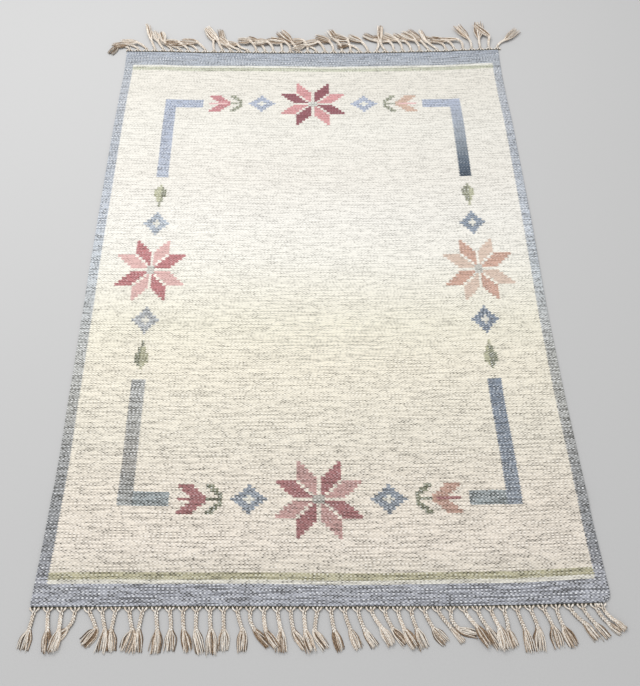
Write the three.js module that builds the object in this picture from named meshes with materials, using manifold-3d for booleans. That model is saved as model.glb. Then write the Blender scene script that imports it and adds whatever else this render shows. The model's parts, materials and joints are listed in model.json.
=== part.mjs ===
// Rollakan rug: a hand-woven flat-weave rug with a plaited fringe at both ends, lying flat on the floor.
// Millimetres, +Z up. X runs across the rug along the weft, Y along the warp, and the floor is z = 0.
// The origin is on the floor at the middle of the cloth. The near end is at -Y, the far end at +Y.

import * as THREE from "three";
import { mergeVertices } from "three/addons/utils/BufferGeometryUtils.js";
import Module from "manifold-3d";

const wasm = await Module();
wasm.setup();

// Driving dimensions of the cloth
const clothWidth = 1400;
const clothLength = 2000;
const clothThickness = 3.5;
const edgeRound = 1.2;
const outlineStep = 60;

// Driving dimensions of the fringe
const tasselCount = 44;
const pieceGap = 0.3;
const stripWidth = 4.5;
const stripHeight = 4.2;
const stripSink = 2.5;
const stripEnd = 8;
const gatherWidth = 23;
const gatherLength = 9;
const plaitWidth = 9.5;
const gatherHeight = 3.4;
const plaitHeight = 6;
const plaitLength = 55;
const tuftEndHeight = 3.6;
const lockSink = 1;
const topShare = 0.7;
const lockShare = 0.29;
const tuftClearance = 1.6;

// How far the woven edges wander from the plain rectangle: "at" is the place along the edge and "by" the
// offset along X for a selvedge, or along Y for an end
const leftSelvedge = [
  { at: 1009, by: 3 },
  { at: 850, by: 6 },
  { at: 780, by: 3 },
  { at: 530, by: 1 },
  { at: 0, by: 2 },
  { at: -150, by: 4 },
  { at: -400, by: 6 },
  { at: -640, by: 8 },
  { at: -780, by: 5 },
  { at: -880, by: 3 },
  { at: -1000, by: -2 },
];
const rightSelvedge = [
  { at: 1004, by: -1 },
  { at: 900, by: -11 },
  { at: 780, by: -10 },
  { at: 600, by: -6 },
  { at: 250, by: -6 },
  { at: -190, by: -10 },
  { at: -370, by: -8 },
  { at: -730, by: 0 },
  { at: -880, by: 5 },
  { at: -950, by: 10 },
  { at: -997, by: 9 },
];
const nearEnd = [
  { at: -702, by: 0 },
  { at: -350, by: 0 },
  { at: 100, by: -2.5 },
  { at: 300, by: -3 },
  { at: 480, by: -2 },
  { at: 600, by: 1 },
  { at: 709, by: 4 },
];
const farEnd = [
  { at: -697, by: -1 },
  { at: -600, by: -6 },
  { at: -400, by: -15 },
  { at: -100, by: -22 },
  { at: 50, by: -25 },
  { at: 200, by: -26 },
  { at: 450, by: -22 },
  { at: 600, by: -15 },
  { at: 699, by: -7 },
];
// Where each end cord starts and stops, the first tassel's place, their pitch, how far the middle ones have
// drifted along the edge, and how far the warp ends run on, straight out of the cloth, before the plaits
const nearEdge = { from: -701, to: 695, first: -689, pitch: 32.3, drift: 7, lead: 0 };
const farEdge = { from: -700, to: 702, first: -688, pitch: 32.1, drift: -5, lead: 14 };
const cornerRound = { nearLeft: 4, nearRight: 24, farRight: 5, farLeft: 5 };

// One row for each tassel, from the left. The three headings are in degrees from straight out of the rug,
// positive to the right: of the plait as it leaves the edge, of its neck, and of the tuft of loose ends.
// "spread" is the width of the open tuft and "length" the length beyond the lead, both in millimetres.
function lay(root, neck, tuft, spread, length) {
  return { root, neck, tuft, spread, length };
}
const nearLay = [
  lay(-6, -8, -10, 29, 99),
  lay(9, 12, 5, 20, 105),
  lay(4, 3, -13, 18, 102),
  lay(0, -30, -12, 15, 96),
  lay(36, 24, -38, 24, 102),
  lay(16, 18, -5, 22, 106),
  lay(-6, -6, 10, 23, 103),
  lay(16, 16, -17, 27, 105),
  lay(-6, -7, 3, 20, 105),
  lay(9, 10, -2, 24, 107),
  lay(14, 3, 0, 26, 103),
  lay(5, 9, 17, 20, 104),
  lay(1, 4, 16, 23, 109),
  lay(5, 7, 6, 26, 110),
  lay(4, 4, 0, 26, 102),
  lay(17, 20, 0, 22, 106),
  lay(0, 31, 34, 14, 106),
  lay(5, 11, 26, 16, 106),
  lay(11, 13, 3, 22, 106),
  lay(6, 13, 34, 18, 105),
  lay(3, 7, 22, 18, 106),
  lay(-10, -6, 36, 20, 105),
  lay(8, 12, 17, 20, 103),
  lay(15, 21, 23, 20, 102),
  lay(16, 23, 35, 15, 102),
  lay(27, 35, 30, 18, 101),
  lay(19, 30, 40, 18, 101),
  lay(14, 22, 32, 20, 103),
  lay(12, 18, 20, 25, 101),
  lay(21, 30, 40, 22, 99),
  lay(33, 38, 38, 9, 102),
  lay(6, 38, 44, 14, 99),
  lay(30, 40, 33, 19, 105),
  lay(23, 32, 26, 20, 107),
  lay(20, 24, 11, 20, 106),
  lay(14, 0, 16, 18, 97),
  lay(15, 19, 6, 18, 109),
  lay(22, 11, -2, 24, 107),
  lay(28, 17, 8, 27, 102),
  lay(11, 18, 23, 25, 103),
  lay(35, 46, 36, 17, 102),
  lay(28, 39, 38, 16, 96),
  lay(24, 42, 48, 11, 88),
  lay(28, 52, 46, 10, 82),
];
const farLay = [
  lay(-60, -95, -150, 16, 104),
  lay(-38, -70, -84, 13, 108),
  lay(-30, -54, -68, 14, 110),
  lay(-16, -26, -26, 14, 128),
  lay(-14, -26, -30, 16, 122),
  lay(-17, -29, -34, 16, 112),
  lay(-22, -35, -40, 16, 104),
  lay(-26, -40, -46, 15, 106),
  lay(-29, -44, -52, 15, 106),
  lay(-31, -45, -52, 16, 106),
  lay(-9, -7, -24, 15, 128),
  lay(-18, -25, -27, 15, 128),
  lay(-22, -29, -29, 15, 116),
  lay(-25, -34, -36, 15, 106),
  lay(-27, -38, -44, 14, 106),
  lay(-22, -38, -48, 15, 106),
  lay(-17, -35, -50, 16, 106),
  lay(-19, -36, -46, 17, 106),
  lay(-14, -36, -46, 16, 106),
  lay(-29, -36, -30, 15, 106),
  lay(-30, -32, -20, 16, 112),
  lay(-22, -35, -34, 15, 104),
  lay(-24, -39, -44, 15, 106),
  lay(-26, -42, -52, 16, 106),
  lay(-8, -24, -44, 17, 106),
  lay(-8, -18, -26, 17, 110),
  lay(-8, -26, -38, 17, 108),
  lay(-15, -34, -43, 14, 104),
  lay(-14, -30, -46, 17, 106),
  lay(-4, -16, -32, 17, 110),
  lay(-6, -13, -12, 14, 122),
  lay(-4, -18, -28, 15, 106),
  lay(-10, -26, -42, 16, 108),
  lay(-18, -33, -42, 16, 108),
  lay(-13, -27, -35, 16, 110),
  lay(-14, -25, -28, 16, 112),
  lay(-28, -32, -24, 14, 108),
  lay(-23, -38, -39, 14, 104),
  lay(-14, -40, -52, 14, 106),
  lay(-4, -44, -62, 13, 108),
  lay(6, -6, -14, 17, 122),
  lay(8, 9, 5, 17, 128),
  lay(10, 14, -8, 17, 118),
  lay(30, 62, 44, 15, 128),
];

// The three locks of a tuft: their places across it, from -1 to 1, and their lengths beside the tassel's own
const locks = [
  { across: -1, share: 0.95 },
  { across: 0, share: 1 },
  { across: 1, share: 0.97 },
];

const woolLook = { color: 0xe6e0d0, roughness: 0.92, metalness: 0 };
const warpLook = { color: 0xcdbb9b, roughness: 0.88, metalness: 0 };

// Value of a wandering edge, eased smoothly from one row of its table to the next
function wander(edge, at) {
  const rows = [...edge].sort((a, b) => a.at - b.at);
  const upper = rows.findIndex((row) => row.at >= at);
  if (upper === -1) return rows[rows.length - 1].by;
  if (upper === 0) return rows[0].by;
  const [low, high] = [rows[upper - 1], rows[upper]];
  const share = (at - low.at) / (high.at - low.at);
  return low.by + (high.by - low.by) * THREE.MathUtils.smoothstep(share, 0, 1);
}
const leftX = (y) => -clothWidth / 2 + wander(leftSelvedge, y);
const rightX = (y) => clothWidth / 2 + wander(rightSelvedge, y);
const nearY = (x) => -clothLength / 2 + wander(nearEnd, x);
const farY = (x) => clothLength / 2 + wander(farEnd, x);

// Quarter-round corner of the outline, from angle to angle + 90 degrees about its own centre
function corner(centreX, centreY, radius, fromDegrees) {
  const steps = radius > 10 ? 6 : 2;
  const arc = new THREE.EllipseCurve(
    centreX, centreY, radius, radius,
    THREE.MathUtils.degToRad(fromDegrees), THREE.MathUtils.degToRad(fromDegrees + 90), false,
  );
  return arc.getPoints(steps);
}

// Places from one end of an edge to the other, about outlineStep apart, without the two ends
function between(from, to) {
  const count = Math.round(Math.abs(to - from) / outlineStep);
  return Array.from({ length: count - 1 }, (_, i) => from + ((to - from) * (i + 1)) / count);
}

// The cloth's ends and the cords beside them bend at the same places, so that the gap between them is even
const endStations = between(-clothWidth / 2 + outlineStep / 2, clothWidth / 2 - outlineStep / 2);

function clothOutline() {
  const { nearLeft, nearRight, farRight, farLeft } = cornerRound;
  const [low, high] = [-clothLength / 2, clothLength / 2];
  const nl = { x: leftX(low) + nearLeft, y: nearY(leftX(low)) + nearLeft };
  const nr = { x: rightX(low) - nearRight, y: nearY(rightX(low)) + nearRight };
  const fr = { x: rightX(high) - farRight, y: farY(rightX(high)) - farRight };
  const fl = { x: leftX(high) + farLeft, y: farY(leftX(high)) - farLeft };
  return [
    ...corner(nl.x, nl.y, nearLeft, 180),
    ...endStations.map((x) => new THREE.Vector2(x, nearY(x))),
    ...corner(nr.x, nr.y, nearRight, 270),
    ...between(nr.y, fr.y).map((y) => new THREE.Vector2(rightX(y), y)),
    ...corner(fr.x, fr.y, farRight, 0),
    ...[...endStations].reverse().map((x) => new THREE.Vector2(x, farY(x))),
    ...corner(fl.x, fl.y, farLeft, 90),
    ...between(fl.y, nl.y).map((y) => new THREE.Vector2(leftX(y), y)),
  ];
}

// The woven cloth: one flat sheet with rounded selvedges
function clothGeometry() {
  const geometry = new THREE.ExtrudeGeometry(new THREE.Shape(clothOutline()), {
    depth: clothThickness - 2 * edgeRound,
    bevelEnabled: true,
    bevelThickness: edgeRound,
    bevelSize: edgeRound,
    bevelOffset: -edgeRound,
    bevelSegments: 2,
  });
  geometry.translate(0, 0, edgeRound);
  return closed(geometry);
}

function closed(geometry) {
  geometry.deleteAttribute("normal");
  geometry.deleteAttribute("uv");
  return mergeVertices(geometry, 1e-4);
}

// A bar of four sides through stations of x, y, heading, width and height, lying flat on the floor.
// "out" is +1 where the bar runs towards +Y and -1 where it runs towards -Y.
function bar(stations, out) {
  const geometry = closed(new THREE.BoxGeometry(1, 1, 1, 1, stations.length - 1, 1));
  const position = geometry.getAttribute("position");
  for (let i = 0; i < position.count; i += 1) {
    const share = (0.5 + position.getY(i)) * (stations.length - 1);
    const station = stations[Math.round(out > 0 ? share : stations.length - 1 - share)];
    const top = position.getZ(i) > 0;
    const reach = position.getX(i) * station.width * (top ? topShare : 1);
    const turn = THREE.MathUtils.degToRad(station.heading);
    const [x, y] = [station.x + reach * Math.cos(turn), station.y - reach * Math.sin(turn) * out];
    position.setXYZ(i, x, y, top ? station.height : 0);
  }
  return geometry;
}

function solid(geometry) {
  const vertProperties = new Float32Array(geometry.getAttribute("position").array);
  const triVerts = new Uint32Array(geometry.getIndex().array);
  return new wasm.Manifold(new wasm.Mesh({ numProp: 3, vertProperties, triVerts }));
}

function geometryOf(manifold) {
  const { vertProperties, numProp, triVerts } = manifold.getMesh();
  const geometry = new THREE.BufferGeometry();
  const points = new Float32Array((vertProperties.length / numProp) * 3);
  for (let i = 0; i < points.length / 3; i += 1) {
    points.set(vertProperties.subarray(i * numProp, i * numProp + 3), i * 3);
  }
  geometry.setAttribute("position", new THREE.BufferAttribute(points, 3));
  geometry.setIndex(new THREE.BufferAttribute(new Uint32Array(triVerts), 1));
  return geometry;
}

// Heading of a tassel at a distance beyond its lead: straight out of the edge, then swung over the plait,
// then turned within a short neck to the way that the tuft lies
function headingAt(tassel, along) {
  const { smoothstep } = THREE.MathUtils;
  const swing = tassel.root * smoothstep(along, 0, 16);
  const bend = (tassel.neck - tassel.root) * smoothstep(along, 18, plaitLength - 8);
  const turn = (tassel.tuft - tassel.neck) * smoothstep(along, plaitLength - 6, plaitLength + 12);
  return swing + bend + turn;
}

// Centreline of a tassel as a function of the distance beyond its lead
function tasselPath(tassel, root, out) {
  const step = 1;
  const points = [{ x: root.x, y: root.y + tassel.lead * out }];
  for (let along = 0; along < tassel.length; along += step) {
    const turn = THREE.MathUtils.degToRad(headingAt(tassel, along + step / 2));
    const last = points[points.length - 1];
    points.push({ x: last.x + step * Math.sin(turn), y: last.y + step * Math.cos(turn) * out });
  }
  return (along) => {
    if (along < 0) return { x: root.x, y: points[0].y + along * out };
    return points[Math.min(Math.round(along / step), points.length - 1)];
  };
}

// Width of a tassel: the gathered warp ends, the plait, and the tuft that opens like a brush
function widthAt(tassel, along, spread) {
  const gathered = (along + tassel.lead) / gatherLength;
  if (gathered < 1) return THREE.MathUtils.lerp(gatherWidth, plaitWidth, gathered);
  if (along <= plaitLength) return plaitWidth;
  const share = (along - plaitLength) / (tassel.length - plaitLength);
  const open = share < 0.7 ? THREE.MathUtils.smoothstep(share, -0.15, 0.7) : 1 - 0.5 * (share - 0.7);
  return THREE.MathUtils.lerp(plaitWidth * 0.9, spread, open);
}

function heightAt(tassel, along) {
  const tuftShare = Math.max(0, (along - plaitLength) / (tassel.length - plaitLength));
  const gathered = THREE.MathUtils.smoothstep(along + tassel.lead, 0, gatherLength);
  return THREE.MathUtils.lerp(gatherHeight, plaitHeight, gathered) - (plaitHeight - tuftEndHeight) * tuftShare;
}

// The widest that a tuft may open without touching its neighbours
function spreadFor(index, tassels, paths) {
  const tassel = tassels[index];
  const nearest = [index - 1, index + 1].filter((other) => tassels[other]).map((other) => {
    const gaps = [];
    for (let along = plaitLength; along <= tassel.length; along += 5) {
      const here = paths[index](along);
      for (let beside = plaitLength - 20; beside <= tassels[other].length; beside += 5) {
        const there = paths[other](beside);
        const half = widthAt(tassels[other], beside, tassels[other].spread) / 2;
        gaps.push(Math.hypot(here.x - there.x, here.y - there.y) - half - tuftClearance);
      }
    }
    return 2 * Math.min(...gaps);
  });
  return Math.max(7, Math.min(tassel.spread, ...nearest));
}

// The solids of one tassel: its plait, from the gathered warp ends to the neck, and the locks of its tuft
function tasselBars(tassel, path, spread, out) {
  const station = (along) => ({
    ...path(along),
    heading: headingAt(tassel, along),
    width: widthAt(tassel, along, spread),
    height: heightAt(tassel, along),
  });
  const plait = [-tassel.lead, gatherLength - tassel.lead, 24, 40, plaitLength + 1].map(station);
  const tufts = locks.map((lock) => [0, 0.55, 1].map((share) => {
    const along = plaitLength - 2 + share * (tassel.length * lock.share - plaitLength + 2);
    const middle = station(along);
    const turn = THREE.MathUtils.degToRad(middle.heading);
    const width = middle.width * lockShare;
    const offset = (lock.across * (middle.width - width)) / 2;
    return {
      ...middle,
      x: middle.x + offset * Math.cos(turn),
      y: middle.y - offset * Math.sin(turn) * out,
      width,
      height: share === 0 ? middle.height - lockSink : middle.height,
    };
  }));
  return [plait, ...tufts].map((stations) => bar(stations, out));
}

// A fringe: the narrow cord along the end of the cloth, with the tassels fused into it
function fringeGeometry(lays, edgeY, edge, out) {
  const tassels = lays.map((tassel) => ({ ...tassel, lead: edge.lead }));
  const stations = [edge.from, edge.from + stripEnd, ...endStations, edge.to - stripEnd, edge.to];
  const strip = solid(closed(stripGeometry(stations, edgeY, out)));
  const paths = tassels.map((tassel, i) => {
    const drift = edge.drift * Math.sin((Math.PI * i) / (tasselCount - 1));
    const x = Math.min(edge.first + i * edge.pitch + drift, edge.to - gatherWidth / 2);
    return tasselPath(tassel, { x, y: edgeY(x) + out * (pieceGap + stripSink) }, out);
  });
  const bars = tassels.flatMap((tassel, i) => {
    return tasselBars(tassel, paths[i], spreadFor(i, tassels, paths), out).map(solid);
  });
  return geometryOf(bars.reduce((fringe, next) => fringe.add(next), strip));
}

function stripGeometry(xs, edgeY, out) {
  const geometry = new THREE.BoxGeometry(1, 1, 1, xs.length - 1, 1, 1);
  const position = geometry.getAttribute("position");
  for (let i = 0; i < position.count; i += 1) {
    const x = xs[Math.round((0.5 + position.getX(i)) * (xs.length - 1))];
    const y = edgeY(x) + out * (pieceGap + stripWidth / 2) + position.getY(i) * stripWidth;
    position.setXYZ(i, x, y, position.getZ(i) > 0 ? stripHeight : 0);
  }
  return geometry;
}

function piece(name, geometry, look) {
  const mesh = new THREE.Mesh(geometry, new THREE.MeshStandardMaterial(look));
  mesh.name = name;
  return mesh;
}

const rug = new THREE.Group();
rug.add(piece("cloth", clothGeometry(), woolLook));
rug.add(piece("near_fringe", fringeGeometry(nearLay, nearY, nearEdge, -1), warpLook));
rug.add(piece("far_fringe", fringeGeometry(farLay, farY, farEdge, 1), warpLook));

export default rug;
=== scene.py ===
"""A rollakan rug: a flat-woven wool rug with a plaited fringe at both ends, lying on the floor.

Metres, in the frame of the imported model: X across the rug, Y along its warp, the floor at z = 0.
"""

import json
import math
import random

import bmesh
import bpy
import numpy as np
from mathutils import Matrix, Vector

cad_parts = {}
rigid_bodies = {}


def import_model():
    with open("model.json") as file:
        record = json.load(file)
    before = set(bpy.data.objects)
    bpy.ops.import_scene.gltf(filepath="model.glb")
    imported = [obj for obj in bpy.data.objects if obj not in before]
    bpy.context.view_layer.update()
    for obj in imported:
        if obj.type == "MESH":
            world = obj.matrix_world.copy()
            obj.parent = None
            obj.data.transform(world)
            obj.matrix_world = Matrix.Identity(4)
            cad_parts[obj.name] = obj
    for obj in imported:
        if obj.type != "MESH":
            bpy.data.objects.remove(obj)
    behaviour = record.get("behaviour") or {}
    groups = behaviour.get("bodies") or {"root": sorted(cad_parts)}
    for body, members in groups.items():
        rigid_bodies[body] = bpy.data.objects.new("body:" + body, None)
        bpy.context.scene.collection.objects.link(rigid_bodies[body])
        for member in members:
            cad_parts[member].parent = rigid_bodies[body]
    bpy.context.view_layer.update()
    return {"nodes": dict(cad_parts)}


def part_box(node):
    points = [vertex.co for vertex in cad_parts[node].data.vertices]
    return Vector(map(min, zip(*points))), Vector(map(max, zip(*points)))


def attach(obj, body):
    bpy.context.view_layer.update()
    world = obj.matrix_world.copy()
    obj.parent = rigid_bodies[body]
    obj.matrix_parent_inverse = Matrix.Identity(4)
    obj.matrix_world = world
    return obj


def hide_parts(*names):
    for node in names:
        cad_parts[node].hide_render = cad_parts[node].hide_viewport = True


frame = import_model()
random.seed(4288)

# The woven cloth
# One flat-woven sheet of wool weft on a strong warp. The weft hides the warp, so the face is staggered rows
# of beads, and the motifs are woven in as blocks. The warp ends leave it as the fringe at both ends.
cloth_node = frame["nodes"]["cloth"]
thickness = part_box("cloth")[1][2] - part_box("cloth")[0][2]
flat_width, flat_length = 1.4, 2.0

# The draft: every band and bar that crosses the cloth, as a width and a number of woven blocks
selvedge = (0.029, 3)
bar = (0.039, 5)
side_margin, middle_width = (0.143, 13), (0.978, 91)
near_bands = {"sky": (0.052, 5), "line": (0.010, 1), "olive": (0.018, 2)}
far_bands = {"olive": (0.018, 2), "line": (0.010, 1), "sky": (0.072, 7)}
near_margin, middle_length, far_margin = (0.170, 16), (1.422, 133), (0.150, 14)


def lines_of(bands):
    """The places of the lines between blocks, from the first edge to the last."""
    lines = [0]
    for width, blocks in bands:
        start = lines[-1]
        lines += [start + width * (i + 1) / blocks for i in range(blocks)]
    return lines


column_lines = lines_of([selvedge, side_margin, bar, middle_width, bar, side_margin, selvedge])
row_lines = lines_of(
    [*near_bands.values(), near_margin, bar, middle_length, bar, far_margin, *far_bands.values()]
)
columns, rows = len(column_lines) - 1, len(row_lines) - 1
pick_height = 0.0036
picks_in = [round((far - near) / pick_height) for near, far in zip(row_lines, row_lines[1:])]
pick_lines = [sum(picks_in[:row]) for row in range(rows + 1)]
chart = np.full((rows, columns), "field", dtype=object)


def block_at(x, y):
    """The column and row of the block that holds a place, in metres from the middle of the cloth."""
    column = int(np.searchsorted(column_lines, x + flat_width / 2)) - 1
    row = int(np.searchsorted(row_lines, y + flat_length / 2)) - 1
    return column, row


def weave_bar(xs, ys, dye):
    """Weaves a bar between two places across the cloth and two places along it."""
    left, near = block_at(min(xs) + 0.001, min(ys) + 0.001)
    right, far = block_at(max(xs) - 0.001, max(ys) - 0.001)
    chart[near : far + 1, left : right + 1] = dye


def weave_motif(motif, middle, dyes, turns=0):
    """Weaves a motif, drawn as rows of letters from its top, with each letter's dye."""
    cells = np.rot90(np.array([list(line) for line in motif]), turns)[::-1]
    column, row = block_at(*middle)
    near, left = row - cells.shape[0] // 2, column - cells.shape[1] // 2
    for (i, j), letter in np.ndenumerate(cells):
        if letter in dyes:
            chart[near + i, left + j] = dyes[letter]


# The border bands, with the blue of both ends running on round the sides
row = 0
for name, (width, blocks) in near_bands.items():
    chart[row : row + blocks] = name
    row += blocks
row = rows
for name, (width, blocks) in reversed(far_bands.items()):
    chart[row - blocks : row] = name
    row -= blocks
chart[:, : selvedge[1]] = chart[:, -selvedge[1] :] = "sky"

# A slim bar brackets each corner
outer_x, inner_x, end_x = 0.528, 0.489, 0.392
outer_y, inner_y, end_y = 0.750, 0.711, 0.388
for side, end, upright, level in (
    (-1, -1, "mist", "teal"),
    (1, -1, "slate", "teal"),
    (-1, 1, "periwinkle", "periwinkle"),
    (1, 1, "dusk", "periwinkle"),
):
    weave_bar((side * end_x, side * outer_x), (end * inner_y, end * outer_y), level)
    weave_bar((side * inner_x, side * outer_x), (end * end_y, end * outer_y), upright)


def eight_petals(reach=10):
    """The old eight-petalled rose: in each quarter two slanting petals, parted by lines of ground."""
    half = reach // 2
    motif = []
    for j in range(reach, -reach - 1, -1):
        line = ""
        for i in range(-reach, reach + 1):
            low, high = sorted((abs(i), abs(j)))
            if high <= 1:
                line += "c"
            elif 0 < low <= half and 0 < high - low <= half:
                line += "ab"[(abs(i) > abs(j)) ^ (i * j > 0)]
            else:
                line += "."
        motif.append(line)
    return motif


tulip = [
    "a...b...a",
    "aa..b..aa",
    "aaa.b.aaa",
    "aaaabaaaa",
    ".aaabaaa.",
    "..aabaa..",
    "...aaa...",
    "g...g...g",
    "gg..g..gg",
    ".gg.g.gg.",
    "..ggggg..",
]
leaf = [
    "...g...",
    "..ggs..",
    ".gggss.",
    ".gggss.",
    ".gggss.",
    "..ggs..",
    "..ggs..",
    "...s...",
    "...s...",
]
diamond = [
    "....a....",
    "...aaa...",
    "..aaaaa..",
    ".aaacaaa.",
    "aaacccaaa",
    ".aaacaaa.",
    "..aaaaa..",
    "...aaa...",
    "....a....",
]
rose = eight_petals()
rose_x, rose_y = 0.508, 0.731
diamond_gap, bud_gap, leaf_gap = 0.184, 0.310, 0.300
weave_motif(rose, (0, rose_y), {"a": "rose", "b": "burgundy", "c": "ash"})
weave_motif(rose, (0, -rose_y), {"a": "rose_dusty", "b": "rose_deep", "c": "ash"})
weave_motif(rose, (-rose_x, 0), {"a": "rose_deep", "b": "pink", "c": "ash"})
weave_motif(rose, (rose_x, 0), {"a": "peach", "b": "peach_pale", "c": "ash"})
for turns, side, petal in ((1, -1, "rose_deep"), (3, 1, "peach")):
    weave_motif(diamond, (side * diamond_gap, rose_y), {"a": "periwinkle", "c": "line"})
    weave_motif(diamond, (side * diamond_gap, -rose_y), {"a": "slate", "c": "line"})
    weave_motif(tulip, (side * bud_gap, rose_y), {"a": petal, "b": "pink", "g": "moss"}, turns)
    weave_motif(tulip, (side * bud_gap, -rose_y), {"a": petal, "b": "rose_deep", "g": "moss"}, turns)
for turns, end in ((0, 1), (2, -1)):
    weave_motif(diamond, (-rose_x, end * diamond_gap), {"a": "mist", "c": "line"})
    weave_motif(diamond, (rose_x, end * diamond_gap), {"a": "slate", "c": "line"})
    weave_motif(leaf, (-rose_x, end * leaf_gap), {"g": "sage", "s": "moss"}, turns)
    weave_motif(leaf, (rose_x, end * leaf_gap), {"g": "moss", "s": "sage"}, turns)

# Each dye, from 0 to 255, at shares of the way from the near end to the far end, because every batch of
# wool took the dye a little differently, and because the fall of light along the rug is painted in too: the
# darker near end is partly painted shade. After them comes how mottled the spun yarn is, which also sets
# how deep the weave's painted shade and painted highlight are: one number, or two for the ground, which is
# more mottled by the near end than from the middle on.
ground_mottling_span = (0.07, 0.45)
dyes = {
    "field": ({0.045: (234, 225, 210), 0.07: (243, 233, 219), 0.13: (242, 232, 217), 0.22: (240, 233, 217),
               0.33: (246, 239, 221), 0.4: (242, 237, 219), 0.52: (245, 242, 232), 0.6: (242, 239, 231),
               0.7: (236, 232, 223), 0.8: (234, 231, 222), 0.9: (228, 224, 214)}, (0.52, 0.45)),
    "line": ({0: (230, 226, 214), 1: (229, 228, 219)}, 0.5),
    "olive": ({0: (194, 188, 156), 1: (195, 197, 177)}, 0.62),
    "sky": ({0.0: (180, 183, 193), 0.035: (177, 179, 187), 0.06: (154, 156, 162), 0.1: (152, 154, 157),
             0.2: (175, 176, 175), 0.27: (191, 191, 186), 0.35: (198, 199, 195), 0.5: (206, 213, 219),
             0.6: (203, 210, 220), 0.7: (182, 189, 199), 0.9: (185, 190, 198), 0.96: (172, 178, 186),
             1.0: (161, 169, 182)}, 0.8),
    "periwinkle": ({0.68: (182, 190, 205), 1: (168, 178, 200)}, 0.7),
    "teal": ({0: (156, 165, 166), 0.3: (160, 168, 170)}, 0.8),
    "mist": ({0.12: (165, 168, 166), 0.18: (178, 175, 169), 0.25: (193, 193, 188), 0.4: (195, 198, 200),
              0.6: (182, 192, 204)}, 0.8),
    "slate": ({0.12: (150, 158, 168), 0.3: (132, 144, 160), 0.5: (140, 152, 168),
               0.7: (150, 162, 178)}, 0.7),
    "dusk": ({0.69: (62, 76, 92), 0.72: (84, 98, 114), 0.75: (124, 134, 144), 0.8: (160, 168, 178),
              0.87: (176, 184, 202)}, 0.5),
    "rose": ({0.1: (196, 150, 146), 0.9: (212, 152, 153)}, 0.5),
    "rose_deep": ({0.1: (164, 112, 112), 0.5: (190, 124, 126), 0.9: (196, 134, 138)}, 0.5),
    "rose_dusty": ({0.1: (198, 158, 152), 0.9: (202, 166, 162)}, 0.5),
    "burgundy": ({0.1: (150, 98, 102), 0.9: (142, 86, 94)}, 0.4),
    "pink": ({0.1: (208, 180, 172), 0.5: (222, 182, 177), 0.9: (226, 188, 186)}, 0.4),
    "peach": ({0.1: (196, 160, 144), 0.5: (210, 170, 152), 0.9: (206, 178, 160)}, 0.5),
    "peach_pale": ({0.1: (214, 196, 180), 0.5: (218, 196, 180)}, 0.4),
    "sage": ({0.1: (178, 176, 152), 0.5: (193, 192, 160), 0.9: (197, 199, 176)}, 0.6),
    "moss": ({0.1: (142, 143, 120), 0.5: (160, 161, 136), 0.9: (156, 158, 138)}, 0.8),
    "ash": ({0.1: (186, 181, 172), 0.5: (206, 204, 196), 0.9: (214, 214, 206)}, 0.6),
}


def linear(colour):
    """The light that a colour reflects, from 0 to 1."""
    share = np.asarray(colour, float) / 255
    return ((share + 0.055) / 1.055) ** 2.4


def dyed(name, along):
    """The colour of a dye at a share of the way along the cloth, and how mottled and how deeply painted
    with shade it is there.
    """
    batches, mottling_and_shading = dyes[name]
    mixed = [np.interp(along, list(batches), channel) for channel in zip(*batches.values())]
    return (*linear(mixed), np.interp(along, ground_mottling_span, np.broadcast_to(mottling_and_shading, 2)))


# The sheet: a grid with one face to each block, given its thickness and rounded at its rim. A face keeps
# the dyes of the blocks to its left and nearer too, because the yarns of two blocks interlock where they
# meet.
rim_round = 0.0012
cloth_mesh = bmesh.new()
bmesh.ops.create_grid(cloth_mesh, x_segments=columns, y_segments=rows, size=1)
for vertex in cloth_mesh.verts:
    column, row = round((vertex.co.x + 1) * columns / 2), round((vertex.co.y + 1) * rows / 2)
    vertex.co = (column_lines[column], row_lines[row], thickness)
bmesh.ops.solidify(cloth_mesh, geom=cloth_mesh.faces[:], thickness=thickness)
bmesh.ops.recalc_face_normals(cloth_mesh, faces=cloth_mesh.faces[:])
rim_edges = [edge for edge in cloth_mesh.edges if edge.calc_face_angle(0) > 1]
bmesh.ops.bevel(
    cloth_mesh, geom=rim_edges, offset=rim_round, segments=2, profile=0.5, affect="EDGES", material=-1
)
own_dye = cloth_mesh.loops.layers.float_color.new("own_dye")
left_dye = cloth_mesh.loops.layers.float_color.new("left_dye")
near_dye = cloth_mesh.loops.layers.float_color.new("near_dye")
woven_place = cloth_mesh.loops.layers.uv.new("woven_place")
block_place = cloth_mesh.loops.layers.uv.new("block_place")
for face in cloth_mesh.faces:
    middle = face.calc_center_median()
    column, row = block_at(middle.x - flat_width / 2, middle.y - flat_length / 2)
    column, row = min(max(column, 0), columns - 1), min(max(row, 0), rows - 1)
    along = middle.y / flat_length
    own, left = dyed(chart[row, column], along), dyed(chart[row, max(column - 1, 0)], along)
    near = dyed(chart[max(row - 1, 0), column], along)
    for loop in face.loops:
        across, picks = loop.vert.co.x, np.interp(loop.vert.co.y, row_lines, pick_lines)
        loop[own_dye], loop[left_dye], loop[near_dye] = own, left, near
        loop[woven_place].uv = (across, picks)
        loop[block_place].uv = (across - column_lines[column], picks - pick_lines[row])
    face.smooth = True


# Laid on the floor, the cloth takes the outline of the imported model, and its near right corner is worn
# round. Its rows bow by a millimetre or two, but run true beside its edges.
true_rim = 0.06
worn_corner = 0.024


def rim_of(node):
    """The outermost points of the flat solid, halfway up."""
    points = np.array([vertex.co[:] for vertex in node.data.vertices])
    halfway = np.abs(points[:, 2] - thickness / 2) < 0.2 * thickness
    return np.unique(points[halfway][:, :2].round(6), axis=0)


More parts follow.
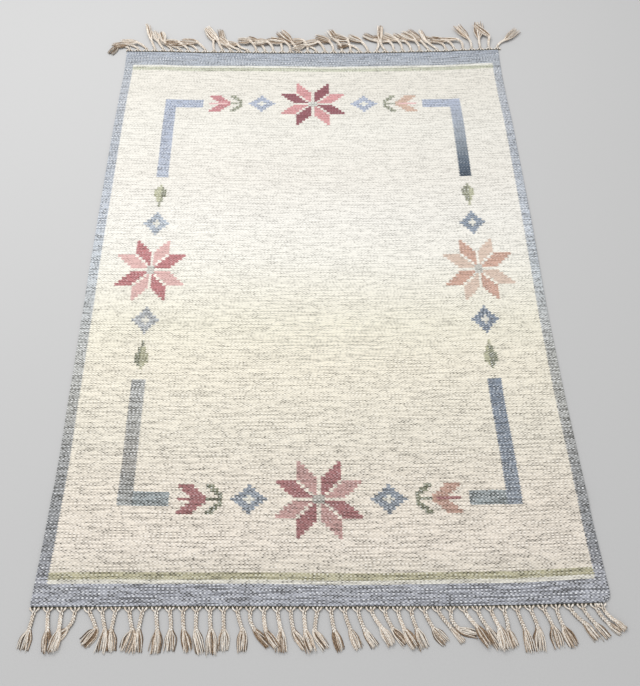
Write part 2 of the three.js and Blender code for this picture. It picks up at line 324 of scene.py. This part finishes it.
def edge_of(rim, side, along):
    """The edge on one side, as places along it (axis 0 or 1) and where it lies, clear of the corners."""
    half = np.array([flat_width, flat_length]) / 2
    across = 1 - along
    chosen = (rim[:, across] * side > half[across] - 0.04) & (np.abs(rim[:, along]) < half[along] - 0.03)
    found = rim[chosen]
    return found[np.argsort(found[:, along])][:, [along, across]]


cloth_rim = rim_of(cloth_node)
left_edge, right_edge = edge_of(cloth_rim, -1, 1), edge_of(cloth_rim, 1, 1)
near_edge, far_edge = edge_of(cloth_rim, -1, 0), edge_of(cloth_rim, 1, 0)


def follow(edge, place):
    """Where an edge lies at a place along it, running straight on into the corners."""
    for near, far, beyond in ((0, 1, place < edge[0, 0]), (-1, -2, place > edge[-1, 0])):
        if beyond:
            slope = (edge[far, 1] - edge[near, 1]) / (edge[far, 0] - edge[near, 0])
            return edge[near, 1] + slope * (place - edge[near, 0])
    return float(np.interp(place, edge[:, 0], edge[:, 1]))


def ease(value, low, high):
    """From 0 at low to 1 at high, smoothly."""
    share = min(max((value - low) / (high - low), 0), 1)
    return share * share * (3 - 2 * share)


def on_floor(across, along):
    """Where a place in the cloth lies, when it is measured from the near left corner along the yarns."""
    inside = ease(along, 0, true_rim) * ease(flat_length - along, 0, true_rim)
    bowed = 0.0012 * math.sin(5.3 * across + 6.1 * along) + 0.0008 * math.sin(14 * across - 3 * along)
    lifted = 0.004 * ease(across, 1.15, 1.37) * (1 - ease(along, 0.1, 0.4))
    along += inside * (bowed + lifted)
    drawn = 0.0008 * math.sin(9.7 * along + 4 * across)
    across += drawn * ease(across, 0, true_rim) * ease(flat_width - across, 0, true_rim)
    y = along - flat_length / 2
    left, right = follow(left_edge, y), follow(right_edge, y)
    x = left + (right - left) * across / flat_width
    near, far = follow(near_edge, x), follow(far_edge, x)
    return x, near + (far - near) * along / flat_length


def ripple(x, y):
    """How far the cloth stands off the floor, in low waves and one soft crease by its right side."""
    waves = ((0.0007, 0.9, 5.1, 0.4), (0.0005, -2.3, 8.7, 1.9), (0.0003, 5.2, 11.3, 3.1))
    low = 0.6 * sum(size * (1 + math.sin(kx * x + ky * y + start)) for size, kx, ky, start in waves)
    crease = 0.003 * math.exp(-(((y + 0.66 + 0.1 * x) / 0.035) ** 2)) * ease(x, 0.45, 0.62)
    return low + crease


corner_x = follow(right_edge, -flat_length / 2) - worn_corner
corner_y = follow(near_edge, flat_width / 2) + worn_corner
for vertex in cloth_mesh.verts:
    x, y = on_floor(vertex.co.x, vertex.co.y)
    out = Vector((x - corner_x, corner_y - y))
    if min(out) > 0:
        out *= max(out) / out.length
        x, y = corner_x + out.x, corner_y - out.y
    vertex.co = (x, y, vertex.co.z + ripple(x, y))


def piece(name, mesh, nodes, materials):
    """Puts a finished mesh in the scene on the one body, in place of the solids it stands for."""
    made = bpy.data.objects.new(name, bpy.data.meshes.new(name))
    mesh.to_mesh(made.data)
    mesh.free()
    bpy.context.scene.collection.objects.link(made)
    for material in materials:
        made.data.materials.append(material)
    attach(made, "root")
    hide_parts(*nodes)
    return made


class Strand:
    """A value in a material. Arithmetic on it adds a Math node, and node() adds any other."""

    def __init__(self, socket):
        self.socket = socket

    def node(self, kind, settings, inputs, output=0):
        tree = self.socket.id_data
        made = tree.nodes.new(kind)
        for name, value in settings.items():
            setattr(made, name, value)
        for name, value in inputs.items():
            if isinstance(value, Strand):
                tree.links.new(value.socket, made.inputs[name])
            else:
                made.inputs[name].default_value = value
        return Strand(made.outputs[output])

    def maths(self, operation, first, second=0.0):
        return self.node("ShaderNodeMath", {"operation": operation}, {0: first, 1: second})

    def __add__(self, other):
        return self.maths("ADD", self, other)

    __radd__ = __add__

    def __sub__(self, other):
        return self.maths("SUBTRACT", self, other)

    def __rsub__(self, other):
        return self.maths("SUBTRACT", other, self)

    def __mul__(self, other):
        return self.maths("MULTIPLY", self, other)

    __rmul__ = __mul__

    def __truediv__(self, other):
        return self.maths("DIVIDE", self, other)

    def floor(self):
        return self.maths("FLOOR", self)

    def fraction(self):
        return self.maths("FRACT", self)

    def arch(self):
        """A hump over each whole step: 0 at both ends and 1 halfway."""
        return self.maths("SINE", self.fraction() * math.pi)

    def between(self, low, high):
        """0 below low and 1 above high, smooth between them."""
        settings = {"interpolation_type": "SMOOTHSTEP"}
        return self.node("ShaderNodeMapRange", settings, {"Value": self, "From Min": low, "From Max": high})

    def toward(self, colour, share):
        """This colour, turned into another by a share."""
        return self.node("ShaderNodeMix", {"data_type": "RGBA"}, {0: share, 6: self, 7: colour}, 2)

    def beside(self, y):
        """A place on a plane, from two values."""
        return self.node("ShaderNodeCombineXYZ", {}, {"X": self, "Y": y})

    def noise(self, detail=1.0):
        return self.node("ShaderNodeTexNoise", {}, {"Vector": self, "Scale": 1.0, "Detail": detail})

    def chance(self):
        """A number from 0 to 1 that jumps from one whole place to the next."""
        return self.node("ShaderNodeTexWhiteNoise", {"noise_dimensions": "2D"}, {"Vector": self})


def yarn_material(name, roughness, sheen, uv_map):
    """A matt yarn material, its shader, and the place along the piece's own map as two values."""
    material = bpy.data.materials.new(name)
    material.use_nodes = True
    shader = material.node_tree.nodes["Principled BSDF"]
    shader.inputs["Roughness"].default_value = roughness
    shader.inputs["Specular IOR Level"].default_value = 0.2
    shader.inputs["Sheen Weight"].default_value = sheen
    shader.inputs["Sheen Roughness"].default_value = 0.5
    shader_end = Strand(shader.outputs[0])
    place = shader_end.node("ShaderNodeUVMap", {"uv_map": uv_map}, {})
    parts = [place.node("ShaderNodeSeparateXYZ", {}, {0: place}, axis) for axis in (0, 1)]
    return material, shader, *parts


def dress(shader, colour, height, depth):
    """Gives the shader its colour and its relief."""
    tree = colour.socket.id_data
    relief = height.node("ShaderNodeBump", {}, {"Height": height, "Distance": depth, "Strength": 0.9})
    tree.links.new(colour.socket, shader.inputs["Base Color"])
    tree.links.new(relief.socket, shader.inputs["Normal"])


# The weave: each pick of weft goes over one pair of warp ends and under the next, and the picks beside it
# do the opposite, so the beads lie like bricks and each bulges over the dips beside it. Two shuttles take
# turns, and both yarns are spun from mixed fleece, so stretches of yarn are darker. The dips between the
# beads and the creases where two beads meet get painted shade, deeper at some dips than at others, and
# each bead's crown gets a painted highlight.
bead_width = 0.0107
yarn_round, bead_dip = 1.38, 0.35
wool, shader, across, picks = yarn_material("woven_wool", 0.9, 0.1, "woven_place")
in_block = across.node("ShaderNodeUVMap", {"uv_map": "block_place"}, {})
from_left, from_near = [in_block.node("ShaderNodeSeparateXYZ", {}, {0: in_block}, axis) for axis in (0, 1)]
sway = (across * 22).beside(picks * 0.5).noise() * 1.2 - 0.6
picks, from_near = picks + sway, from_near + sway


def thread(number):
    """One pick's yarn: its place along the beads, and how high it stands where the shader looks."""
    slack = (across * 30).beside(number * 5.3).noise()
    run = across / bead_width + number * 0.5 + slack * 0.8
    away = picks - number - 0.5
    return run, 1 - away * away * yarn_round - across.maths("COSINE", run * (2 * math.pi)) * bead_dip


pick = picks.floor()
beyond = across.maths("SIGN", picks - pick - 0.5)
(own_run, own_height), (next_run, next_height) = thread(pick), thread(pick + beyond)
lead = own_height - next_height
covered = across.maths("LESS_THAN", lead, 0)
shown = pick + beyond * covered
run = own_run + (next_run - own_run) * covered
height = across.maths("MAXIMUM", own_height, next_height)
shuttle = (shown * 0.5).fraction() * 2
bead = run.floor().beside(shown).chance()
dip = (own_run + 0.5).floor().beside(pick).chance()
streak = (across * 22).beside(shown * 3.7).noise(2.0)
paired = ((across * 8).beside(shown * 0.3).noise(2.0) - 0.5) * (shuttle * 2 - 1)
patch = (across * 7).beside(shown * 0.14).noise(2.0)
fibre = (across * 260 + picks * 3).beside(across * 90 + shown * 7).noise(3.0)
own, left, near = [
    across.node("ShaderNodeVertexColor", {"layer_name": name}, {})
    for name in ("own_dye", "left_dye", "near_dye")
]
mottling_and_shading = Strand(own.socket.node.outputs["Alpha"])
tooth = (1 - from_left.between(0.0029, 0.0031)) * shuttle
stitch = 1 - (from_near + shown - pick).between(-0.05, 0.05)
colour = own.toward(left, tooth).toward(near, stitch)
# The painted shade in the dips and creases, and the dark yarn, are drawn deeper towards the near end
near_end_depth = 1.05 - picks.between(0, 500) * 0.35
dark_yarn = (streak * 1.8 + paired * 4.2 + patch * 0.3 + bead * 0.4).between(0.7, 2.2)
# How deep the painted shade is at each dip, varying from dip to dip
dip_shade = (streak * 0.8 + paired * 1.8 + patch * 0.3 + dip * 1.4).between(0.9, 2.2)
# Painted shade in the hollows between the beads and in the creases where one bead meets the next
hollow_shade = 1 - height.between(0.55, 1.1)
crease = 1 - across.maths("ABSOLUTE", lead).between(0.0, 0.3)
# Painted highlight on the crown of each bead
crown_highlight = height.between(0.85, 1.2)
# All that darkens the yarn: painted shade in the hollows and creases, and the really darker yarn and fibres
dark = hollow_shade * (dip_shade * 1.2 + 0.3) + crease * 0.25 + dark_yarn * 0.8 + fibre.between(0.5, 0.75) * 0.2
# pale is partly the yarn's paler beads and ply, and partly a painted highlight, since it shows only on the
# bead crowns
pale = crown_highlight * (1 - dark_yarn) * (bead * 0.9 + (1 - shuttle) * 0.2 + 0.1)
colour = colour.toward((0.85, 0.86, 0.87, 1), pale * (mottling_and_shading - 0.3) * 1.6)
# Painted shade and darker yarn turn the dye toward a near-black of its own colour
colour = colour.toward(own.toward((0.03, 0.028, 0.024, 1), 0.87), dark * near_end_depth * mottling_and_shading)
dress(shader, colour, height * 0.8 + fibre * 0.3, 0.001)
cloth = piece("rug_cloth", cloth_mesh, ["cloth"], [wool])

# The twined end cords
# Beside each end an olive and a cream strand are twined round the warp ends, to stop the weft from working
# loose. They lie in the small gap between the cloth and the tassels, and turn once round each pair of ends.
# Both are coloured much darker than the yarns themselves, as painted shadow along the cloth's edge.
cord_gap = 0.0003
cord_strand = 0.0024
twist_length = 0.0108


def swept(name, strands, radius, sides, materials):
    """Round strands, each along a route of points and in one of the materials, closed at both ends."""
    curve = bpy.data.curves.new(name, "CURVE")
    curve.dimensions = "3D"
    curve.bevel_depth = radius
    curve.bevel_resolution = sides
    curve.use_fill_caps = True
    for material in materials:
        curve.materials.append(material)
    for route, material in strands:
        spline = curve.splines.new("POLY")
        spline.points.add(len(route) - 1)
        spline.points.foreach_set("co", [value for point in route for value in (*point[:3], 1)])
        spline.points.foreach_set("radius", [point[3] if len(point) > 3 else 1 for point in route])
        spline.material_index = material
    holder = bpy.data.objects.new(name, curve)
    whole = bpy.data.meshes.new_from_object(holder)
    mesh = bmesh.new()
    mesh.from_mesh(whole)
    for used, store in ((holder, bpy.data.objects), (curve, bpy.data.curves), (whole, bpy.data.meshes)):
        store.remove(used)
    bmesh.ops.remove_doubles(mesh, verts=mesh.verts[:], dist=0.000002)
    bmesh.ops.recalc_face_normals(mesh, faces=mesh.faces[:])
    for face in mesh.faces:
        face.smooth = True
    return mesh


def end_cord(edge, start, stop, out):
    """Two strands twining about a line just outside the cloth's end."""
    steps = round((stop - start) / twist_length * 8)
    strands = []
    for strand in (0, 1):
        route = []
        for step in range(steps + 1):
            x = start + (stop - start) * step / steps
            turn = 2 * math.pi * step / 8 + strand * math.pi
            y = follow(edge, x) + out * (cord_gap + cord_strand + 0.55 * cord_strand * math.cos(turn))
            route.append((x, y, 0.0026 + 0.55 * cord_strand * math.sin(turn)))
        strands.append((route, strand))
    return strands


def plied_material(name, base, dark, turns, low, high):
    """Plied yarn: pale plies with painted shade in the groove between them, and painted shade below the two
    heights given.
    """
    material, shader, length, around = yarn_material(name, 0.85, 0.1, "UVMap")
    ply = ((length * turns + around) * 2.0).arch()
    place = length.node("ShaderNodeTexCoord", {}, {}, 3)
    grain = place.node("ShaderNodeTexNoise", {}, {"Vector": place, "Scale": 260.0, "Detail": 2.0})
    patch = place.node("ShaderNodeTexNoise", {}, {"Vector": place, "Scale": 24.0, "Detail": 1.0})
    spun = {0: grain.between(0.35, 0.7), 6: dark, 7: base}
    colour = grain.node("ShaderNodeMix", {"data_type": "RGBA"}, spun, 2)
    # Painted shade in the groove between the plies, and darker patches of the yarn itself
    colour = colour.toward(dark, (1 - ply).between(0.4, 1.0) * 0.5 + patch.between(0.5, 0.75) * 0.3)
    up = place.node("ShaderNodeSeparateXYZ", {}, {0: place}, 2)
    # Painted shade by height: deep at low and gone above high, so strands that dive under others or lie low
    # are darker
    colour = colour.toward(tuple(0.3 * part for part in dark[:3]) + (1,), 0.9 - up.between(low, high) * 0.9)
    dress(shader, colour, ply + grain * 0.5, 0.0004)
    return material


# Both twines are coloured much darker than the yarn, as painted shadow along the cloth's edge
twines = [
    plied_material("olive_twine_edge_shadow", (0.07, 0.065, 0.04, 1), (0.02, 0.018, 0.01, 1), 500, 0.001, 0.003),
    plied_material("cream_twine_edge_shadow", (0.42, 0.39, 0.30, 1), (0.12, 0.10, 0.07, 1), 500, 0.001, 0.003),
]
for side, edge, start, stop, out in (
    ("near", near_edge, -0.700, 0.688, -1),
    ("far", far_edge, -0.696, 0.697, 1),
):
    name = side + "_end_cord"
    mesh = swept(name, end_cord(edge, start, stop, out), cord_strand / 2, 1, twines)
    piece(name, mesh, [side + "_fringe"], twines)

# The tassels
# Six warp ends make a tassel. They leave the cloth in pairs, each with a small knot, are plaited as three
# strands for a finger's length, and end as a loose tuft. Each tassel lies as it fell when the rug was laid.
plait_length = 0.055
knot_pitch, knot_place = 0.0108, 0.0035
gathered_by = 0.0190
plait_half, plait_rise = 0.0033, 0.0014
plait_repeat = 0.019
strand_width = 0.0038
root_gap = 0.0018
neck_width, neck_overlap = 0.0065, 0.004
lanes = (11, 8)
yarn_width = 0.0024


def lay(root, neck, tuft, spread, length, lift=0):
    """Headings in degrees from straight out of the rug, positive to the right, and sizes in millimetres."""
    return {
        "root": root,
        "neck": neck,
        "tuft": tuft,
        "spread": spread / 1000,
        "length": length / 1000,
        "lift": lift / 1000,
    }


near_lay = [
    lay(-6, -8, -10, 29, 99),
    lay(8, 11, 5, 22, 105, 3),
    lay(4, 2, -16, 22, 103, 5),
    lay(-1, -37, -48, 22, 98),
    lay(36, 24, -38, 25, 103),
    lay(16, 18, -5, 23, 106),
    lay(-6, -6, 10, 23, 103),
    lay(16, 16, -17, 30, 105),
    lay(-6, -7, 3, 22, 105),
    lay(9, 10, -2, 24, 107),
    lay(14, 3, 0, 26, 103),
    lay(5, 9, 17, 21, 104),
    lay(1, 4, 16, 23, 109),
    lay(5, 7, 6, 27, 110),
    lay(4, 4, 0, 26, 102),
    lay(17, 20, 0, 22, 106),
    lay(-1, 32, 45, 17, 108),
    lay(4, 11, 38, 18, 106, 4),
    lay(11, 13, 3, 22, 106, 2),
    lay(6, 13, 37, 20, 106),
    lay(3, 7, 22, 20, 106, 3),
    lay(-10, -6, 37, 22, 105),
    lay(8, 12, 17, 20, 103),
    lay(15, 21, 23, 20, 102),
    lay(16, 23, 35, 18, 102),
    lay(27, 35, 30, 20, 101, 3),
    lay(19, 30, 41, 20, 101),
    lay(14, 22, 32, 20, 103, 3),
    lay(12, 18, 20, 26, 101),
    lay(21, 30, 41, 24, 99),
    lay(34, 39, 38, 10, 102),
    lay(0, 40, 74, 18, 102),
    lay(31, 39, 33, 21, 106, 5),
    lay(23, 32, 26, 22, 107),
    lay(20, 24, 11, 24, 106, 4),
    lay(14, 0, 16, 20, 97),
    lay(15, 19, 6, 20, 109),
    lay(22, 11, -2, 24, 107),
    lay(28, 17, 8, 27, 102),
    lay(11, 18, 23, 26, 103),
    lay(35, 47, 34, 18, 102),
    lay(28, 40, 38, 18, 96),
    lay(25, 42, 52, 15, 88),
    lay(28, 52, 48, 13, 80, 3),
]
far_lay = [
    lay(-62, -98, -150, 28, 104, 2),
    lay(-56, -82, -94, 28, 112, 5),
    lay(-46, -66, -86, 30, 118, 8),
    lay(-24, -20, -16, 14, 146, 9),
    lay(-34, -28, -22, 22, 116, 5),
    lay(-48, -36, -16, 26, 112, 8),
    lay(-64, -62, -44, 28, 106, 4),
    lay(-44, -60, -86, 31, 112, 8),
    lay(-40, -68, -94, 31, 106, 5),
    lay(-38, -52, -86, 32, 114, 8),
    lay(-10, 2, -22, 30, 138, 6),
    lay(-27, -21, -31, 25, 146, 9),
    lay(-44, -26, -14, 21, 130, 4),
    lay(-68, -58, -42, 29, 110, 7),
    lay(-72, -44, -84, 31, 112, 5),
    lay(-16, -44, -84, 32, 106, 8),
    lay(-22, -42, -64, 32, 106, 5),
    lay(-15, -48, -94, 32, 108, 8),
    lay(-2, -30, -92, 32, 108, 5),
    lay(-10, -50, -80, 35, 118, 8),
    lay(-38, -38, -36, 35, 134, 9),
    lay(-2, -34, -98, 31, 114, 8),
    lay(-46, -74, -116, 30, 110, 5),
    lay(-20, -44, -104, 32, 112, 8),
    lay(-4, -32, -66, 35, 118, 5),
    lay(-10, -32, -24, 28, 128, 7),
    lay(-4, -22, -64, 35, 122, 9),
    lay(-42, -72, -96, 30, 102, 4),
    lay(-20, -38, -56, 34, 116, 6),
    lay(24, -8, -58, 28, 122, 4),
    lay(-30, -12, 4, 21, 144, 9),
    lay(-4, -40, -72, 32, 118, 5),
    lay(-6, -35, -58, 34, 122, 7),
    lay(-12, -42, -52, 30, 112, 5),
    lay(-8, -38, -52, 35, 122, 8),
    lay(-30, -35, -38, 30, 132, 6),
    lay(-50, -50, -16, 15, 126, 8),
    lay(-15, -70, -62, 28, 122, 4),
    lay(-20, -58, -80, 32, 114, 7),
    lay(2, -58, -92, 14, 122, 9),
    lay(2, -28, -27, 28, 138, 8),
    lay(-2, 0, 6, 34, 146, 7),
    lay(4, 12, -36, 22, 142, 9),
    lay(34, 62, 42, 28, 136, 5),
]
near_roots = {"first": -0.689, "pitch": 0.0323, "drift": 0.007, "last": 0.6835, "lead": 0}
far_roots = {"first": -0.688, "pitch": 0.0321, "drift": -0.005, "last": 0.6905, "lead": 0.008}


def heading(tassel, distance):
    """The way a tassel runs at a distance beyond its lead, in radians from straight out."""
    swing = tassel["root"] * ease(distance, 0, 0.016)
    bend = (tassel["neck"] - tassel["root"]) * ease(distance, 0.018, plait_length - 0.008)
    turn = (tassel["tuft"] - tassel["neck"]) * ease(distance, plait_length - 0.006, plait_length + 0.012)
    return math.radians(swing + bend + turn)


def middle_line(tassel, index, roots, edge, out, count):
    """A function that gives the place beside a tassel's middle line, at a distance beyond its lead."""
    x = roots["first"] + index * roots["pitch"] + roots["drift"] * math.sin(math.pi * index / (count - 1))
    x = min(x, roots["last"])
    step = 0.001
    points = [(x, follow(edge, x) + out * (root_gap + roots["lead"]))]
    for i in range(math.ceil(tassel["length"] * 1.1 / step)):
        turn = heading(tassel, (i + 0.5) * step)
        points.append((points[-1][0] + step * math.sin(turn), points[-1][1] + step * math.cos(turn) * out))

    def at(distance, beside, height):
        place = min(max(distance, 0) / step, len(points) - 1.001)
        i = int(place)
        (x0, y0), (x1, y1) = points[i], points[i + 1]
        turn = heading(tassel, distance)
        rest = place - i
        return (
            x0 + (x1 - x0) * rest + beside * math.cos(turn),
            y0 + (y1 - y0) * rest + (min(distance, 0) - beside * math.sin(turn)) * out,
            height + tassel["lift"] * ease(distance, 0.012, 0.060),
        )

    return at


def plait_strands(at, lead):
    """Three strands: from its knot each is drawn in to the middle, then goes over one and under one."""
    strands = []
    step, beyond = 0.0012, 0.003
    whole = lead + plait_length + beyond
    steps = round(whole / step)
    for strand in (-1, 0, 1):
        route = []
        for i in range(steps + 1):
            distance = whole * i / steps
            phase = 2 * math.pi * (distance / plait_repeat + strand / 3)
            gathered = 0.5 * ease(distance, 0, gathered_by) + 0.5 * min(distance / gathered_by, 1)
            beside = strand * knot_pitch * (1 - gathered) + plait_half * math.sin(phase) * gathered
            rise = plait_rise * (1.6 + (math.sin(2 * phase) - 0.6) * gathered)
            knot = 1 + 0.5 * math.exp(-(((distance - knot_place) / 0.0020) ** 2))
            route.append((*at(distance - lead, beside, strand_width / 2 + rise), knot))
        strands.append((route, 0))
    return strands


def tuft_strands(tassel, at):
    """The loose yarns, opening from the plait like a brush, wavy and cut a little unevenly."""
    strands = []
    steps = 9
    rest = tassel["length"] - plait_length
    for layer, count in enumerate(lanes):
        for lane in range(count):
            side = (2 * (lane + random.random()) / count - 1) * (1 - 0.1 * layer)
            reach = rest * random.uniform(0.84 + 0.06 * layer, 0.98 + 0.06 * layer)
            wave, start = random.uniform(0.0003, 0.0013), random.uniform(0, 6.28)
            stray = random.choice((0, 0, 0, 1)) * random.uniform(-0.007, 0.007)
            route = []
            for i in range(steps + 1):
                share = i / steps
                opened = ease(share, -0.12, 0.5) - 0.08 * ease(share, 0.6, 1)
                width = neck_width + (1.12 * tassel["spread"] - neck_width) * opened
                beside = side * width / 2 + wave * math.sin(5 * share + start) + stray * share**2
                low, high = 0.0014 + 0.0024 * layer, 0.0012 + 0.0019 * layer
                height = low + (high - low) * ease(share, 0, 0.6)
                thin = 1 - 0.25 * ease(share, 0.7, 1)
                place = at(plait_length - neck_overlap + (reach + neck_overlap) * share, beside, height)
                route.append((*place, thin))
            # The tones are the yarn's own, but the lower layer takes more tan and the upper more pale, as
            # painted shade under the upper layer
            strands.append((route, random.choice((0, 1, 1, 2) if layer == 0 else (0, 1, 2, 2))))
    return strands


# The plaits get painted shade where a strand dives under the others: deepest below 3.7 mm and gone above
# 5.8 mm
plait_yarn = plied_material("plait_yarn", (1.0, 0.97, 0.91, 1), (0.64, 0.54, 0.44, 1), 10, 0.0037, 0.0058)


def tuft_yarns(side, low, high):
    """Three tones of one yarn, because the loose ends have aged unevenly."""
    tones = {
        "ecru": ((0.99, 0.90, 0.79, 1), (0.58, 0.46, 0.35, 1)),
        "tan": ((0.50, 0.36, 0.24, 1), (0.20, 0.13, 0.08, 1)),
        "pale": ((1.0, 0.97, 0.91, 1), (0.80, 0.71, 0.61, 1)),
    }
    return [plied_material(side + "_" + name, *pair, 14, low, high) for name, pair in tones.items()]


def fringe(side, lays, roots, edge, out, low, high):
    """The plaits and the tufts of one end, as two pieces."""
    plaits, tufts = [], []
    for index, tassel in enumerate(lays):
        at = middle_line(tassel, index, roots, edge, out, len(lays))
        plaits += plait_strands(at, roots["lead"])
        tufts += tuft_strands(tassel, at)
    made = []
    for name, strands, radius, sides, yarns in (
        (side + "_plaits", plaits, strand_width / 2, 1, [plait_yarn]),
        (side + "_tufts", tufts, yarn_width / 2, 0, tuft_yarns(side, low, high)),
    ):
        mesh = swept(name, strands, radius, sides, yarns)
        made.append(piece(name, mesh, [side + "_fringe"], yarns))
    return made


# low and high: the heights over which the tufts' painted shade fades out, so low-lying tassels and yarns
# are darker
near_pieces = fringe("near", near_lay, near_roots, near_edge, out=-1, low=0.0005, high=0.0034)
far_pieces = fringe("far", far_lay, far_roots, far_edge, out=1, low=0.0010, high=0.0100)

# The room
# A plain pale floor, one large soft light high over the rug, and the camera of someone standing at its
# near end and looking down along it.
floor_mesh = bmesh.new()
bmesh.ops.create_grid(floor_mesh, x_segments=1, y_segments=1, size=9)
floor = bpy.data.objects.new("floor", bpy.data.meshes.new("floor"))
floor_mesh.to_mesh(floor.data)
floor_mesh.free()
bpy.context.scene.collection.objects.link(floor)
floor_paint = bpy.data.materials.new("pale_floor")
floor_paint.use_nodes = True
floor_shader = floor_paint.node_tree.nodes["Principled BSDF"]
floor_shader.inputs["Base Color"].default_value = (0.50, 0.50, 0.50, 1)
floor_shader.inputs["Roughness"].default_value = 0.8
floor.data.materials.append(floor_paint)

soft_box = bpy.data.lights.new("soft_box", "AREA")
soft_box.shape = "RECTANGLE"
soft_box.size, soft_box.size_y = 3.0, 2.4
soft_box.energy = 87
lamp = bpy.data.objects.new("soft_box", soft_box)
lamp.location = (-1.2, 1.4, 3.2)
lamp.rotation_euler = (Vector((0, 0.2, 0)) - lamp.location).to_track_quat("-Z", "Y").to_euler()
bpy.context.scene.collection.objects.link(lamp)

room = bpy.data.worlds.new("room")
room.use_nodes = True
room.node_tree.nodes["Background"].inputs["Color"].default_value = (1, 1, 1, 1)
room.node_tree.nodes["Background"].inputs["Strength"].default_value = 0.75
bpy.context.scene.world = room
bpy.context.scene.view_settings.view_transform = "Standard"

lens = bpy.data.cameras.new("camera")
lens.lens = 39.25
lens.sensor_width = 36
lens.shift_x = 0.0176
camera = bpy.data.objects.new("camera", lens)
camera.location = (-0.014, -1.3464, 1.8935)
camera.rotation_euler = [math.radians(angle) for angle in (29.71, 0.414, -0.239)]
bpy.context.scene.collection.objects.link(camera)
bpy.context.scene.camera = camera
